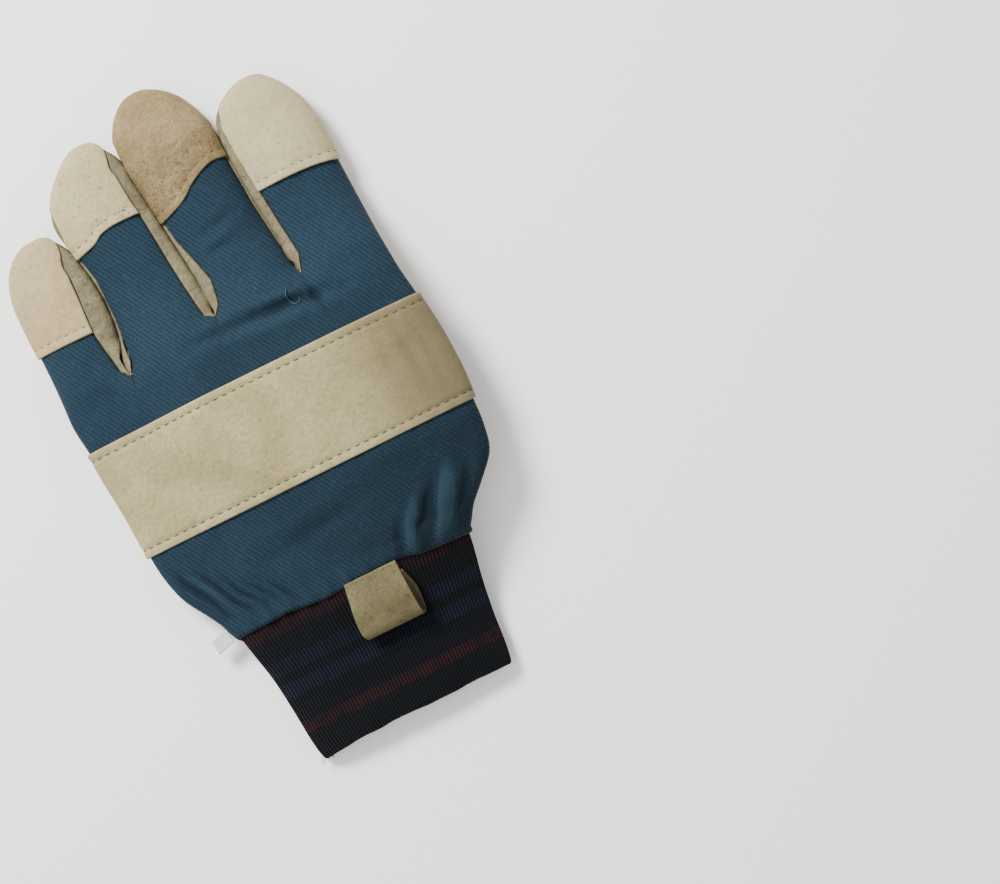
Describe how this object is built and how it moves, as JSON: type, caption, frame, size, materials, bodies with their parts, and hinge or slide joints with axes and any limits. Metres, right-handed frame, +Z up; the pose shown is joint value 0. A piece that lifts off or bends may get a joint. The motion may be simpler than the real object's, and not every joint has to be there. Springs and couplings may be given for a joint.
{
  "type": "pigskin work glove",
  "caption": "Left-hand work glove lying palm down with its thumb folded under: twill back, leather palm, fingertips and knuckle band, knit wrist and a pull loop",
  "frame": {"origin": "middle of the glove's box in plan, on the surface that the palm rests on", "axes": "+Y along the glove from the cuff to the fingertips, +X towards the index finger's side, +Z up out of the back of the hand"},
  "size_m": [0.1496, 0.2672, 0.0301],
  "materials": {
    "twill": "teal-blue cotton twill with a diagonal rib",
    "band_leather": "khaki-cream pigskin, mottled grain, red-brown stitching",
    "tip_leather": "pale cream pigskin with clustered pores",
    "strip_leather": "pale cream pigskin side strips",
    "palm_leather": "yellowish pigskin with fine wrinkles",
    "suede": "olive-brown suede split, matt",
    "hem_leather": "light pigskin, puffed hem",
    "knit": "near-black rib knit with dull red and navy stripes",
    "loop_leather": "khaki pigskin strip",
    "label": "plain white woven tag, blank"
  },
  "bodies": {
    "root": {"back_cloth": "twill", "knuckle_band": "band_leather", "little_tip": "tip_leather", "ring_tip": "tip_leather", "middle_tip": "tip_leather", "index_tip": "tip_leather", "fourchette_little_ring": "strip_leather", "fourchette_ring_middle": "strip_leather", "fourchette_middle_index": "strip_leather", "palm_leather": "palm_leather", "middle_finger_fronts": "palm_leather", "palm_patch": "suede", "palm_hem": "hem_leather", "thumb_outer": "suede", "thumb_inner": "suede", "knit_cuff": "knit", "pull_loop": "loop_leather", "size_label": "label"}
  },
  "joints": []
}
